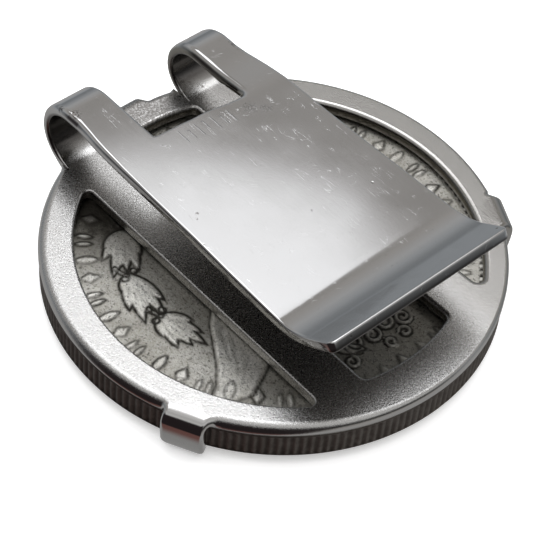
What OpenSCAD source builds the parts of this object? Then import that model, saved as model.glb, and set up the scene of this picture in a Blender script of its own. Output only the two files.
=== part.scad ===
// Spring clip with a round bezel that holds one coin.
// The clip is a single stamped and folded sheet: a flat ring with two rails,
// two folded-back loops, a tongue with a flared lip, and three hooked prongs
// that wrap the coin's edge. The coin sits under the ring and can be turned.
// +X runs along the tongue towards its lip, +Z points out of the ring face.
// The origin is the middle of the base, level with the prongs' undersides.

/* [Coin] */
// Diameter of the coin
coin_d = 38.1; // [36:0.1:40]
// Thickness of the coin at its rim
coin_t = 2.5; // [1.8:0.1:3]
// Width of the raised rim
coin_rim_w = 1.15; // [0.6:0.05:2]
// Depth of the field below the rim, both faces
coin_field_d = 0.2; // [0.1:0.05:0.35]
// Height of the raised ornament above the field
coin_relief_h = 0.15; // [0.05:0.05:0.2]
// Bevel on the coin's outer corners
coin_bevel = 0.15; // [0.1:0.05:0.25]

/* [Sheet] */
// Thickness of the spring sheet
sheet_t = 0.93; // [0.8:0.01:1.1]
// Height of the rounding along the ring's outer top edge
ring_edge_r = 0.7; // [0.3:0.05:0.75]
// Outer radius of the flat ring
ring_r = 19.11; // [19.05:0.01:19.4]

/* [Windows and rails] */
// Radius of the curved side of both side windows
window_r = 17.0; // [16.5:0.1:17.4]
// Offset of the window arcs towards the lip
window_cx = 0.43; // [0:0.05:0.6]
// Offset of the left window arc across the ring
window_l_cy = 0.6; // [0:0.05:0.8]
// Offset of the right window arc across the ring
window_r_cy = -0.4; // [-0.8:0.05:0]
// Corner radius of the windows
window_corner = 0.5; // [0.2:0.05:0.8]
// Radius of the curved ends of the central slot
slot_r = 15.93; // [15.4:0.05:16.2]
// Offset of the slot end arcs towards the bend
slot_cx = -0.43; // [-0.6:0.01:0]
// Left rail, distance of its outer edge from the middle line
rail_l_out = 8.45; // [8.2:0.05:8.8]
// Left rail, distance of its inner edge from the middle line
rail_l_in = 4.12; // [3.8:0.05:4.4]
// Right rail, outer edge at the bend end
rail_r_out_bend = 8.5; // [8.2:0.05:8.8]
// Right rail, outer edge at the lip end
rail_r_out_lip = 9.85; // [8.6:0.05:10]
// Right rail, inner edge at the bend end
rail_r_in_bend = 4.65; // [4.3:0.05:4.9]
// Right rail, inner edge at the lip end
rail_r_in_lip = 5.4; // [4.6:0.05:5.6]

/* [Folded loops] */
// Outer radius of the two folded-back loops
loop_r = 3.55; // [3.2:0.05:4]
// Distance from the coin axis to the loop centres
loop_back = 16.47; // [16.2:0.01:16.8]
// Left loop, inner side
loop_l_in = 4.45; // [4.3:0.05:4.8]
// Right loop, inner side
loop_r_in = 4.75; // [4.6:0.05:5]
// Outer side of both loops
loop_out = 8.45; // [8.2:0.05:8.5]

/* [Tongue and lip] */
// Half width of the tongue where the legs join it
tongue_hw_root = 8.72; // [8.5:0.01:9]
// Half width of the tongue at its middle
tongue_hw_mid = 8.95; // [8.6:0.05:9.2]
// Half width of the lip
lip_hw = 9.3; // [9:0.05:9.6]
// Position of the slot end between the legs, left corner, from the coin axis
slot_end_l = -10.4; // [-11:0.05:-9]
// Position of the slot end between the legs, right corner, from the coin axis
slot_end_r = -9.8; // [-11:0.05:-9]
// Start of the flared lip, from the coin axis
lip_start = 9.7; // [9:0.1:10.5]
// Inside radius of the lip's curve
lip_r = 6.8; // [5:0.1:8]
// Angle of the flared lip
lip_angle = 34; // [20:1:40]
// Length of the straight part of the lip
lip_flat = 2.5; // [1:0.1:3.5]

/* [Prongs] */
// Width of each prong
prong_w = 3.55; // [3:0.05:4.2]
// Angle of the two side prongs from the lip direction
prong_angle = 62; // [55:0.5:70]
// Distance from the coin axis to the hook tips
prong_tip = 18.1; // [17.6:0.05:18.4]
// Inside radius of the prong folds
fold_r = 0.27; // [0.2:0.01:0.35]
// Fillet where a prong leaves the ring
prong_fillet = 0.6; // [0.3:0.05:0.8]

/* [Clearances] */
// Play between the coin's edge and the prongs
coin_side_gap = 0.1; // [0.05:0.01:0.2]
// Play between the coin and the hooks below it
coin_hook_gap = 0.15; // [0.05:0.01:0.25]
// Play between the coin and the ring above it
coin_ring_gap = 0.09; // [0.05:0.01:0.2]
// Parting line across the folded loops where the spring flexes
flex_gap = 0.04; // [0.02:0.01:0.1]

/* [Hidden] */
$fn = 96;
steel = [0.72, 0.71, 0.70];
silver = [0.60, 0.58, 0.53];
coin_r = coin_d / 2;
coin_z0 = sheet_t + coin_hook_gap;
coin_z1 = coin_z0 + coin_t;
plate_z0 = coin_z1 + coin_ring_gap;
plate_z1 = plate_z0 + sheet_t;
loop_ri = loop_r - sheet_t;
loop_z = plate_z0 + loop_r;
tongue_z1 = plate_z0 + 2 * loop_r;
tongue_z0 = tongue_z1 - sheet_t;
prong_po = coin_r + coin_side_gap + sheet_t;
prong_pi = prong_po - sheet_t;
fold_ro = fold_r + sheet_t;
prong_root = 18.2;
root_hw = prong_w / 2 + prong_fillet;
loop_x = -loop_back;
loop_end = loop_x - loop_r;
rail_end = 14.85;
leg_end = min(slot_end_l, slot_end_r) - 0.6;
// The base is centred under the part: half way between the ring's far edge
// and the outermost line at the folded end.
coin_axis_x = (max(prong_po, -loop_end) - ring_r) / 2;

// ---------------------------------------------------------------- helpers

function arc(cx, cy, r, a0, a1, n) =
    [for (i = [0 : n]) let (a = a0 + (a1 - a0) * i / n) [cx + r * cos(a), cy + r * sin(a)]];

// Moves a shape drawn about the coin's axis into the part's frame.
module on_axis() { translate([coin_axis_x, 0, 0]) children(); }

// Flat outline raised to the level of the base plate.
module at_plate(extra = 0) {
    translate([0, 0, plate_z0 - extra]) linear_extrude(sheet_t + 2 * extra) children();
}

// Flat outline raised to the level of the tongue.
module at_tongue() { translate([0, 0, tongue_z0]) linear_extrude(sheet_t) children(); }

// ------------------------------------------------------------- base plate

// Round blank, its outer top edge rolled over by the blanking.
module blank() {
    rotate_extrude($fn = 180)
        polygon(concat([[0, plate_z0], [ring_r - 0.15, plate_z0], [ring_r, plate_z0 + 0.12]],
                       arc(ring_r - ring_edge_r, plate_z1 - ring_edge_r, ring_edge_r, 0, 90, 6),
                       [[0, plate_z1]]));
}

module window_left_2d() {
    offset(r = window_corner) offset(delta = -window_corner)
    intersection() {
        translate([window_cx, window_l_cy]) circle(r = window_r, $fn = 180);
        translate([-30, -30 - rail_l_out]) square([60, 30]);
    }
}

module window_right_2d() {
    offset(r = window_corner) offset(delta = -window_corner)
    intersection() {
        translate([window_cx, window_r_cy]) circle(r = window_r, $fn = 180);
        polygon([[loop_x, rail_r_out_bend], [rail_end, rail_r_out_lip], [30, rail_r_out_lip],
                 [30, 30], [-30, 30], [-30, rail_r_out_bend]]);
    }
}

module slot_2d() {
    offset(r = window_corner) offset(delta = -window_corner)
    intersection() {
        translate([slot_cx, 0]) circle(r = slot_r, $fn = 180);
        polygon([[-30, -rail_l_in], [30, -rail_l_in], [30, rail_r_in_lip],
                 [rail_end, rail_r_in_lip], [loop_x, rail_r_in_bend], [-30, rail_r_in_bend]]);
    }
}

// Room for one prong's root in the edge of the blank.
module prong_room(a) {
    rotate([0, 0, a]) translate([prong_root, -root_hw, plate_z0 - 1])
        cube([4, 2 * root_hw, sheet_t + 2]);
}

module bezel_plate() {
    color(steel) on_axis() difference() {
        blank();
        at_plate(1) window_left_2d();
        at_plate(1) window_right_2d();
        at_plate(1) slot_2d();
        // the blank's edge is open where the two loops fold up
        translate([loop_x - 10, -rail_l_out, plate_z0 - 1])
            cube([10, rail_l_out - loop_l_in, sheet_t + 2]);
        translate([loop_x - 10, loop_r_in, plate_z0 - 1])
            cube([10, loop_out + 0.05 - loop_r_in, sheet_t + 2]);
        for (a = [-prong_angle, prong_angle, 180]) prong_room(a);
    }
}

// ----------------------------------------------------------------- prongs

// Side view of a prong: out of the ring, down the coin's edge, under it.
function prong_path() = concat(
    [[prong_root, plate_z1]],
    arc(prong_po - fold_ro, plate_z1 - fold_ro, fold_ro, 90, 0, 8),
    arc(prong_po - fold_ro, fold_ro, fold_ro, 0, -90, 8),
    [[prong_tip, 0], [prong_tip, sheet_t]],
    arc(prong_pi - fold_r, sheet_t + fold_r, fold_r, -90, 0, 5),
    arc(prong_pi - fold_r, plate_z0 - fold_r, fold_r, 0, 90, 5),
    [[prong_root, plate_z0]]);

// Plan view: concave fillets where the prong leaves the round edge.
module prong_plan_2d() {
    f = prong_fillet;
    x0 = ring_r - 0.12;
    polygon(concat(
        [[prong_tip - 1, -prong_w / 2], [prong_root - 0.001, -prong_w / 2], [prong_root - 0.001, -root_hw]],
        arc(x0 + f, -root_hw, f, 180, 90, 5),
        [[25, -prong_w / 2], [25, prong_w / 2]],
        arc(x0 + f, root_hw, f, 270, 180, 5),
        [[prong_root - 0.001, root_hw], [prong_root - 0.001, prong_w / 2], [prong_tip - 1, prong_w / 2]]));
}

module prong(a) {
    color(steel) on_axis() rotate([0, 0, a]) intersection() {
        rotate([90, 0, 0]) translate([0, 0, -5]) linear_extrude(10) polygon(prong_path());
        translate([0, 0, -1]) linear_extrude(12) prong_plan_2d();
        union() {
            translate([0, -root_hw, coin_z1 - 0.6]) cube([30, 2 * root_hw, 4]);
            rotate([90, 0, 90]) linear_extrude(30) hull() {
                translate([-prong_w / 2, coin_z1 - 1]) square([prong_w, 1]);
                for (s = [-1, 1])
                    translate([s * (prong_w / 2 - 0.7), 0.7]) circle(r = 0.7, $fn = 32);
            }
        }
    }
}

module prong_left() { prong(-prong_angle); }
module prong_right() { prong(prong_angle); }
module prong_rear() { prong(180); }

// ------------------------------------------------------------------ loops

// Half of one folded loop between two side planes, below or above its middle.
module loop_half(y0, y1, upper) {
    color(steel) on_axis() intersection() {
        translate([loop_x, y1, loop_z]) rotate([90, 0, 0]) difference() {
            cylinder(r = loop_r, h = y1 - y0);
            translate([0, 0, -1]) cylinder(r = loop_ri, h = y1 - y0 + 2);
        }
        translate([loop_x - 10, y0 - 1, upper ? loop_z + flex_gap / 2 : loop_z - flex_gap / 2 - 10])
            cube([10, y1 - y0 + 2, 10]);
    }
}

module loop_lower_left() { loop_half(-loop_out, -loop_l_in, false); }
module loop_lower_right() { loop_half(loop_r_in, loop_out, false); }
module loop_upper_left() { loop_half(-loop_out, -loop_l_in, true); }
module loop_upper_right() { loop_half(loop_r_in, loop_out, true); }

// ----------------------------------------------------------------- tongue

module leg_left() {
    color(steel) on_axis() at_tongue()
        polygon([[loop_x, -loop_out], [leg_end, -tongue_hw_root],
                 [leg_end, -loop_l_in + 0.1], [loop_x, -loop_l_in]]);
}

module leg_right() {
    color(steel) on_axis() at_tongue()
        polygon([[loop_x, loop_out], [leg_end, tongue_hw_root],
                 [leg_end, loop_r_in], [loop_x, loop_r_in]]);
}

// Flat part of the tongue, with the rounded end of the slot between the legs.
module tongue() {
    color(steel) on_axis() at_tongue() difference() {
        polygon([[leg_end, -tongue_hw_root], [0, -tongue_hw_mid], [lip_start, -lip_hw + 0.03],
                 [lip_start, lip_hw - 0.03], [0, tongue_hw_mid], [leg_end, tongue_hw_root]]);
        offset(r = 0.5) offset(delta = -0.5)
            polygon([[leg_end - 4, -loop_l_in + 0.1], [slot_end_l, -loop_l_in + 0.1],
                     [slot_end_r, loop_r_in], [leg_end - 4, loop_r_in]]);
    }
}

// Flared end: a curve up and a short straight edge, with rounded corners.
module lip() {
    xc = lip_start;
    zi = tongue_z1 + lip_r;
    ro = lip_r + sheet_t;
    a = lip_angle;
    ex = xc + lip_r * sin(a) + lip_flat * cos(a);
    ez = zi - lip_r * cos(a) + lip_flat * sin(a);
    color(steel) on_axis() intersection() {
        rotate([90, 0, 0]) translate([0, 0, -15]) linear_extrude(30)
            polygon(concat(arc(xc, zi, lip_r, -90 + a, -90, 10),
                           arc(xc, zi, ro, -90, -90 + a, 10),
                           [[ex + sheet_t * sin(a), ez - sheet_t * cos(a)], [ex, ez]]));
        linear_extrude(40) hull() {
            translate([lip_start, -lip_hw + 0.03]) square([0.01, 2 * lip_hw - 0.06]);
            for (s = [-1, 1]) translate([ex + sheet_t * sin(a) - 0.5, s * (lip_hw - 0.5)])
                circle(r = 0.5, $fn = 32);
        }
    }
}

// ------------------------------------------------------------------- coin

// Pointed leaf of length l and width w, lying along +X from the origin.
module leaf_2d(l, w) {
    r = (l * l + w * w) / (4 * w);
    intersection() {
        translate([l / 2, w / 2 - r]) circle(r = r, $fn = 64);
        translate([l / 2, r - w / 2]) circle(r = r, $fn = 64);
    }
}

// A wreath of paired leaves with a plain five-pointed star inside it.
module ornament_2d() {
    for (i = [0 : 15]) rotate(i * 22.5) translate([11.4, 0]) rotate(62) leaf_2d(4.0, 1.4);
    for (i = [0 : 15]) rotate(i * 22.5) translate([10.9, 0]) rotate(118) leaf_2d(3.6, 1.3);
    polygon([for (i = [0 : 9]) let (r = i % 2 == 0 ? 6.2 : 2.6) [r * cos(36 * i), r * sin(36 * i)]]);
}

module coin() {
    color(silver) on_axis() {
        rotate_extrude($fn = 180) polygon([
            [0, coin_z0 + coin_field_d],
            [coin_r - coin_rim_w - 0.15, coin_z0 + coin_field_d],
            [coin_r - coin_rim_w, coin_z0],
            [coin_r - coin_bevel, coin_z0],
            [coin_r, coin_z0 + coin_bevel],
            [coin_r, coin_z1 - coin_bevel],
            [coin_r - coin_bevel, coin_z1],
            [coin_r - coin_rim_w, coin_z1],
            [coin_r - coin_rim_w - 0.15, coin_z1 - coin_field_d],
            [0, coin_z1 - coin_field_d]]);
        // raised ornament on the exposed underside and on the face in the bezel
        translate([0, 0, coin_z0 + coin_field_d - coin_relief_h])
            linear_extrude(coin_relief_h + 0.3) ornament_2d();
        translate([0, 0, coin_z1 - coin_field_d - 0.3])
            linear_extrude(coin_relief_h + 0.3) ornament_2d();
    }
}

coin();
bezel_plate();
prong_left();
prong_right();
prong_rear();
loop_lower_left();
loop_lower_right();
loop_upper_left();
loop_upper_right();
leg_left();
leg_right();
tongue();
lip();
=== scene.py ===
# Looks for the coin clip: one stamped and folded sheet, and the struck coin it holds.
import math

import bmesh
import bpy
import numpy as np
from mathutils import Matrix, Vector


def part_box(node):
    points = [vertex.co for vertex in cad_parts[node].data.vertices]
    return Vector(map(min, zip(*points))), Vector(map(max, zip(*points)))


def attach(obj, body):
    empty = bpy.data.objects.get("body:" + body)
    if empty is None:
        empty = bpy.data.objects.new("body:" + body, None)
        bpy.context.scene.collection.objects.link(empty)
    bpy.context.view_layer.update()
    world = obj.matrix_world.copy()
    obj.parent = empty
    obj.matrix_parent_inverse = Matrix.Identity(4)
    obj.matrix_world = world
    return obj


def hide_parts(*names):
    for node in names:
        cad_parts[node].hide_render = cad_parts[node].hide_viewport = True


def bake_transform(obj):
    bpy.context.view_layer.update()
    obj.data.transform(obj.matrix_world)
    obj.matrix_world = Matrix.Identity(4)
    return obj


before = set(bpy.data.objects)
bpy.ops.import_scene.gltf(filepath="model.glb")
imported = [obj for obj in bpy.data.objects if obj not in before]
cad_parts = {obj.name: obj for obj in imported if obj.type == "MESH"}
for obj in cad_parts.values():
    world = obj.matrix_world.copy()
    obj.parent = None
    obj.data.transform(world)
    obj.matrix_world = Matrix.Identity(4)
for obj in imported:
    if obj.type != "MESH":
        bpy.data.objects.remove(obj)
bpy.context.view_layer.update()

MM = 0.001

# ---------------------------------------------------------------- dimensions, mm
plate_lo, plate_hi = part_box("bezel_plate")
coin_lo, coin_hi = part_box("coin")
tongue_lo, tongue_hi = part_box("tongue")
lip_lo, lip_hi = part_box("lip")

T = (plate_hi.z - plate_lo.z) / MM            # sheet thickness
H = T / 2
PLATE_M = (plate_hi.z + plate_lo.z) / 2 / MM  # middle of the plate's thickness
AXIS_X = (coin_hi.x + coin_lo.x) / 2 / MM     # the coin's axis
COIN_R = (coin_hi.x - coin_lo.x) / 2 / MM
COIN_Z0, COIN_Z1 = coin_lo.z / MM, coin_hi.z / MM
TONGUE_M = (tongue_hi.z + tongue_lo.z) / 2 / MM
RING_R = 19.104
FOLD_X = -16.47
LOOP_Z = (PLATE_M + TONGUE_M) / 2
LOOP_M = (TONGUE_M - PLATE_M) / 2
U_BEND = math.pi * LOOP_M
LIP_X, LIP_M, LIP_A, LIP_FLAT = 9.7, 6.8 + H, math.radians(33.2), 2.5
U_LIP = U_BEND + LIP_X - FOLD_X
U_FLAT = U_LIP + LIP_M * LIP_A
U_END = U_FLAT + LIP_FLAT
BEND_S, FOLD_M = 18.88, 0.27 + H
S1 = FOLD_M * math.pi / 2
S2 = 2.2
PRONGS = (-62.0, 62.0, 180.0)
SLIT = 0.05


def d2r(a):
    return math.radians(a)


# ------------------------------------------------------------ flat outline helpers
# A contour is a list of (x, y, top radius, underside radius) in the flat pattern.

def arc(cx, cy, r, a0, a1, n):
    return [(cx + r * math.cos(d2r(a0 + (a1 - a0) * i / n)), cy + r * math.sin(d2r(a0 + (a1 - a0) * i / n))) for i in range(n + 1)]


def with_r(points, rt, rb):
    return [(x, y, rt, rb) for x, y in points]


def area(c):
    return 0.5 * sum(c[i][0] * c[(i + 1) % len(c)][1] - c[(i + 1) % len(c)][0] * c[i][1] for i in range(len(c)))


def clean(c):
    out = []
    for p in c:
        if not out or math.hypot(p[0] - out[-1][0], p[1] - out[-1][1]) > 1e-4:
            out.append(p)
    if math.hypot(out[0][0] - out[-1][0], out[0][1] - out[-1][1]) < 1e-4:
        out.pop()
    return out


def corner_fillets(centre, R, p, d, n, f, steps=7):
    """Rounded corners between the chord p + t d, with the hole on its n side, and a circle: two lists from chord to arc."""
    C, p, d, n = map(np.array, (centre, p, d, n))
    q = p + n * f - C
    b, c = q @ d, q @ q - (R - f) ** 2
    root = math.sqrt(b * b - c)
    out = []
    for t in (-b - root, -b + root):
        c0 = p + n * f + d * t
        foot = -n
        tip = (c0 - C) / np.linalg.norm(c0 - C)
        a0, a1 = math.atan2(foot[1], foot[0]), math.atan2(tip[1], tip[0])
        da = (a1 - a0 + math.pi) % (2 * math.pi) - math.pi
        out.append([tuple(c0 + f * np.array([math.cos(a0 + da * i / steps), math.sin(a0 + da * i / steps)])) for i in range(steps + 1)])
    return out


def circle_between(centre, R, p, q, ccw, step=1.6):
    a0 = math.degrees(math.atan2(p[1] - centre[1], p[0] - centre[0]))
    a1 = math.degrees(math.atan2(q[1] - centre[1], q[0] - centre[0]))
    if ccw:
        while a1 < a0: a1 += 360
    else:
        while a1 > a0: a1 -= 360
    return arc(centre[0], centre[1], R, a0, a1, max(2, int(abs(a1 - a0) / step)))


def window(centre, R, p, q, side, f):
    d = np.array(q, float) - np.array(p, float); d /= np.linalg.norm(d)
    n = np.array([-d[1], d[0]]) * side
    lo, hi = corner_fillets(centre, R, p, d, n, f)
    ring = circle_between(centre, R, hi[-1], lo[-1], side > 0)
    return clean(lo[::-1] + hi + ring)


def slot_hole(centre, R, l1, l2, f):
    def line(p, q, side):
        d = np.array(q, float) - np.array(p, float); d /= np.linalg.norm(d)
        return corner_fillets(centre, R, p, d, np.array([-d[1], d[0]]) * side, f)
    a_lo, a_hi = line(*l1, 1)
    b_lo, b_hi = line(*l2, -1)
    return clean(a_lo[::-1] + a_hi + circle_between(centre, R, a_hi[-1], b_hi[-1], True) + b_hi[::-1]
                 + b_lo + circle_between(centre, R, b_lo[-1], a_lo[-1], True) + a_lo[::-1][:1])


def prong_z_half(s):
    """Half width of a prong at flat distance s: its bottom corners are rounded."""
    q = s - BEND_S - S1 - S2
    if q <= -0.1:
        return 1.75 + 0.05 * min(1, (s - BEND_S) / (S1 + S2))
    a = max(0.0, min(q / FOLD_M, math.pi / 2))
    z = (FOLD_M + H) * (1 - math.sin(a)) - min(0.0, q)
    r, h = 0.9, 1.3
    return 1.8 if z >= h else 1.8 - r + r * math.sqrt(max(0.0, 1 - ((h - z) / h) ** 2))


def prong_tab(angle, f0, f1, redge):
    """Counter-clockwise outline of one prong, from the ring's edge and back to it, with its root fillets."""
    side = []
    ss = [20.2 - 0.35, 21.0, 22.2345]
    ss += [BEND_S + S1 + S2 + FOLD_M * d2r(a) for a in (12, 24, 34, 44, 54, 64, 74, 82, 90)] + [24.17]
    for s in ss:
        side.append((s, prong_z_half(s)))

    def root(f):
        t = 1.75 + f
        sc = math.sqrt((RING_R + f) ** 2 - t * t)
        a0 = math.degrees(math.atan2(t, -sc))
        return [(sc + f * math.cos(d2r(a0 + (90 - a0) * i / 6)), t - f * math.sin(d2r(a0 + (90 - a0) * i / 6))) for i in range(7)]
    pts = []
    r0 = root(f0)
    r1 = root(f1)
    # root() gives t above zero, running from the circle to the prong's side
    n = len(r0) - 1
    for i, (s, t) in enumerate(r0):
        pts.append((s, -t, 0.75 + (redge - 0.75) * i / n, 0.12))
    for s, t in side:
        if s > r0[-1][0] + 0.02:
            pts.append((s, -t, redge, 0.12))
    back = []
    for i, (s, t) in enumerate(r1):
        back.append((s, t, 0.75 + (redge - 0.75) * i / n, 0.12))
    for s, t in side:
        if s > r1[-1][0] + 0.02:
            back.append((s, t, redge, 0.12))
    pts += back[::-1]
    ca, sa = math.cos(d2r(angle)), math.sin(d2r(angle))
    return [(s * ca - t * sa, s * sa + t * ca, a, b) for s, t, a, b in pts]


def rim(a0, a1, step=1.0):
    n = max(1, int(abs(a1 - a0) / step))
    out = []
    for x, y in arc(0, 0, RING_R, a0, a1, n):
        far = max(0.0, min(1.0, 0.5 + 0.9 * (y / RING_R + 0.35 * x / RING_R)))
        out.append((x, y, 0.76 - 0.42 * far * far * (3 - 2 * far), 0.12))
    return out


def ang(p):
    return math.degrees(math.atan2(p[1], p[0]))


def between(p, q, n):
    return [tuple(p[k] + (q[k] - p[k]) * i / n for k in range(4)) for i in range(1, n)]


def dense(c, step):
    out = []
    for i, p in enumerate(c):
        q = c[(i + 1) % len(c)]
        n = max(1, int(math.hypot(q[0] - p[0], q[1] - p[1]) / step))
        out.append(p)
        out += between(p, q, n)
    return out


# tongue outline: position along the tongue from the coin's axis, half width
WIDTHS = [(-16.47, 8.40), (-15.2, 8.36), (-14.0, 8.45), (-12.8, 8.58), (-11.5, 8.66), (-9.0, 8.74), (-6.0, 8.78), (0.0, 8.92), (4.0, 9.10), (8.0, 9.22)]
SLOT_END = [(-10.45, -4.30), (-10.36, -4.05), (-10.34, -3.6), (-10.29, -2.79), (-10.24, -1.78), (-10.15, -0.81), (-10.13, 0.14),
            (-10.10, 0.79), (-9.97, 1.7), (-9.80, 2.57), (-9.72, 3.25), (-9.74, 3.95), (-9.82, 4.35), (-10.0, 4.62), (-10.3, 4.72)]


def u_of(x):
    return U_BEND + x - FOLD_X


def leg_r(u, big):
    return 0.06 + (big - 0.06) * min(1.0, max(0.0, u / 1.8))


def flat_pattern():
    # ---- outer contour, counter-clockwise
    y0 = 8.40 + SLIT
    x0 = -math.sqrt(RING_R ** 2 - y0 ** 2)
    start, end = ang((x0, -y0)), ang((x0, y0))
    left = prong_tab(-62, 0.45, 1.0, 0.34)
    right = prong_tab(62, 0.6, 0.6, 0.34)
    outer = rim(start, ang(left[0])) + left[1:-1] + rim(ang(left[-1]), ang(right[0])) + right[1:-1] + rim(ang(right[-1]), end)
    outer = [(x, y, 0.10 if (x < -16.4 and abs(abs(y) - y0) < 0.05) else a, b) for x, y, a, b in outer]
    outer += [(FOLD_X, y0, 0.06, 0.04), (FOLD_X, 8.40, 0.06, 0.04)]
    run = [(FOLD_X - u, 8.40, leg_r(u, 0.25), leg_r(u, 0.34)) for u in np.linspace(0.3, U_BEND, 14)]
    run += [(FOLD_X - u_of(x), w, 0.22, max(0.20, 0.34 - 0.02 * (x - FOLD_X))) for x, w in WIDTHS[1:]]
    run += [(FOLD_X - (U_LIP + 1.5), 9.30, 0.2, 0.18), (FOLD_X - (U_FLAT + 0.8), 9.27, 0.18, 0.16)]
    r = 0.55
    run += with_r([(FOLD_X - (U_END - r + r * math.cos(d2r(90 - a))), 9.22 - r + r * math.sin(d2r(90 - a))) for a in (0, 15, 30, 45, 60, 75, 90)], 0.16, 0.16)
    outer += run

    def left_b(x, b):
        u = FOLD_X - x
        return leg_r(u, 0.50) if u < 11 else max(0.20, 0.50 - 0.033 * (u - 11)) if u < 34 else b
    outer += [(x, -y, a, left_b(x, b)) for x, y, a, b in run[::-1]]
    outer += [(FOLD_X, -8.40, 0.06, 0.04), (FOLD_X, -y0, 0.06, 0.04)]

    # ---- gap between the legs and the ring's rear edge, with the rear prong
    yl, yr = -4.30, 4.72
    gap = [(FOLD_X, yr, 0.06, 0.04)]
    gap += [(FOLD_X - u, yr, leg_r(u, 0.22), leg_r(u, 0.58)) for u in np.linspace(0.3, U_BEND, 14)]
    gap += [(FOLD_X - u_of(-12.5), yr, 0.22, 0.55)]
    gap += [(FOLD_X - u_of(x), y, 0.22, 0.26 + 0.24 * max(0.0, min(1.0, (y - 3.4) / 1.0))) for x, y in SLOT_END[::-1]]
    gap += [(FOLD_X - u_of(-12.5), yl, 0.25, 0.30)]
    gap += [(FOLD_X - u, yl, leg_r(u, 0.25), leg_r(u, 0.30)) for u in np.linspace(U_BEND, 0.3, 14)]
    gap += [(FOLD_X, yl, 0.06, 0.04), (FOLD_X, yl + SLIT, 0.06, 0.04)]
    yl2, yr2 = yl + SLIT, yr - SLIT
    pl = (-math.sqrt(RING_R ** 2 - yl2 ** 2), yl2)
    pr = (-math.sqrt(RING_R ** 2 - yr2 ** 2), yr2)
    rear = prong_tab(180, 0.6, 0.6, 0.34)[::-1]
    a_l, a_r = ang(pl) + 360, ang(pr)
    gap += [(pl[0], pl[1], 0.10, 0.06)]
    gap += rim(a_l, ang(rear[0]) + (360 if ang(rear[0]) < 0 else 0))[1:-1] + rear + rim(ang(rear[-1]) + (360 if ang(rear[-1]) < 0 else 0), a_r)[1:-1]
    gap += [(pr[0], pr[1], 0.10, 0.06), (FOLD_X, yr2, 0.06, 0.04)]

    win_l = window((0.43, 0.6), 17.0, (-16.47, -8.45), (14.85, -8.45), -1, 0.5)
    win_r = window((0.43, -0.4), 17.0, (-16.47, 8.5), (14.85, 9.85), 1, 0.5)
    slot = slot_hole((-0.43, 0), 15.93, ((-16.47, -4.12), (14.85, -4.12)), ((-16.47, 4.65), (14.85, 5.4)), 0.55)
    holes = [with_r(win_l, 0.20, 0.08), with_r(win_r, 0.50, 0.08), with_r(slot, 0.38, 0.08), gap]

    outer = dense(clean(outer), 3.0)
    if area(outer) < 0:
        outer.reverse()
    fixed = []
    for h in holes:
        h = dense(clean(h), 3.0)
        if area(h) > 0:
            h.reverse()
        fixed.append(h)
    return outer, fixed


def marks():
    """Small engraved upright bars near the slot's end, on the tongue's top: plain, generic decoration."""
    out = []
    for k, (length, shift) in enumerate([(1.5, 0), (1.1, 0.15), (1.5, 0), (1.1, -0.15), (1.5, 0), (1.1, 0.1), (1.4, 0)]):
        y = -2.6 + 0.78 * k
        x = -8.95 + 0.09 * k + shift
        w = 0.11
        pts = [(x - length / 2, y - w), (x + length / 2, y - w + 0.04), (x + length / 2 + 0.06, y + w), (x - length / 2 + 0.03, y + w)]
        out.append([(FOLD_X - u_of(a), b) for a, b in pts])
    return out


# --------------------------------------------------------------- sheet building

def inset(contour, dist):
    """Every vertex moved into the metal by its own distance, keeping edges parallel."""
    n = len(contour)
    out = []
    for i in range(n):
        p = np.array(contour[i][:2]); a = np.array(contour[i - 1][:2]); b = np.array(contour[(i + 1) % n][:2])
        e1, e2 = p - a, b - p
        e1, e2 = e1 / np.linalg.norm(e1), e2 / np.linalg.norm(e2)
        n1, n2 = np.array([-e1[1], e1[0]]), np.array([-e2[1], e2[0]])
        m = n1 + n2
        L = np.linalg.norm(m)
        if L < 0.3:
            m, L = n1, 1.0
        m = m / L
        out.append(p + m * dist[i] / max(0.35, m @ n1))
    return out


def ring_levels(contour, top_steps=6, low_steps=3):
    rt = np.array([c[2] for c in contour]); rb = np.array([c[3] for c in contour])
    levels = [(rt + 0.035, np.full(len(rt), H))]
    for k in range(top_steps + 1):
        f = math.pi / 2 * k / top_steps
        levels.append((rt * (1 - math.sin(f)), H - rt * (1 - math.cos(f))))
    for k in range(low_steps + 1):
        f = math.pi / 2 * k / low_steps
        levels.append((rb * (1 - math.cos(f)), -H + rb * (1 - math.sin(f))))
    levels.append((rb + 0.03, np.full(len(rb), -H)))
    return levels


def is_leg(x, y):
    if x > FOLD_X + 1e-6:
        return False
    if x < -25.5:
        return True
    return (-8.40 - SLIT / 2 < y < -4.30 + SLIT / 2) or (4.72 - SLIT / 2 < y < 8.40 + SLIT / 2)


def prong_ease(q, z):
    """A prong's outer face leans in a little towards its foot; its inner face stays straight."""
    w, k = max(0.0, min(1.0, (z + H) / T)), 0.26
    if q <= S1:
        return 0.0
    t = min(1.0, (q - S1) / S2)
    e = -k * S2 * t * t / 2
    t = max(0.0, min(1.0, (q - S1 - S2) / S1))
    return (e - k * S1 * (t - t * t / 2)) * w


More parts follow.
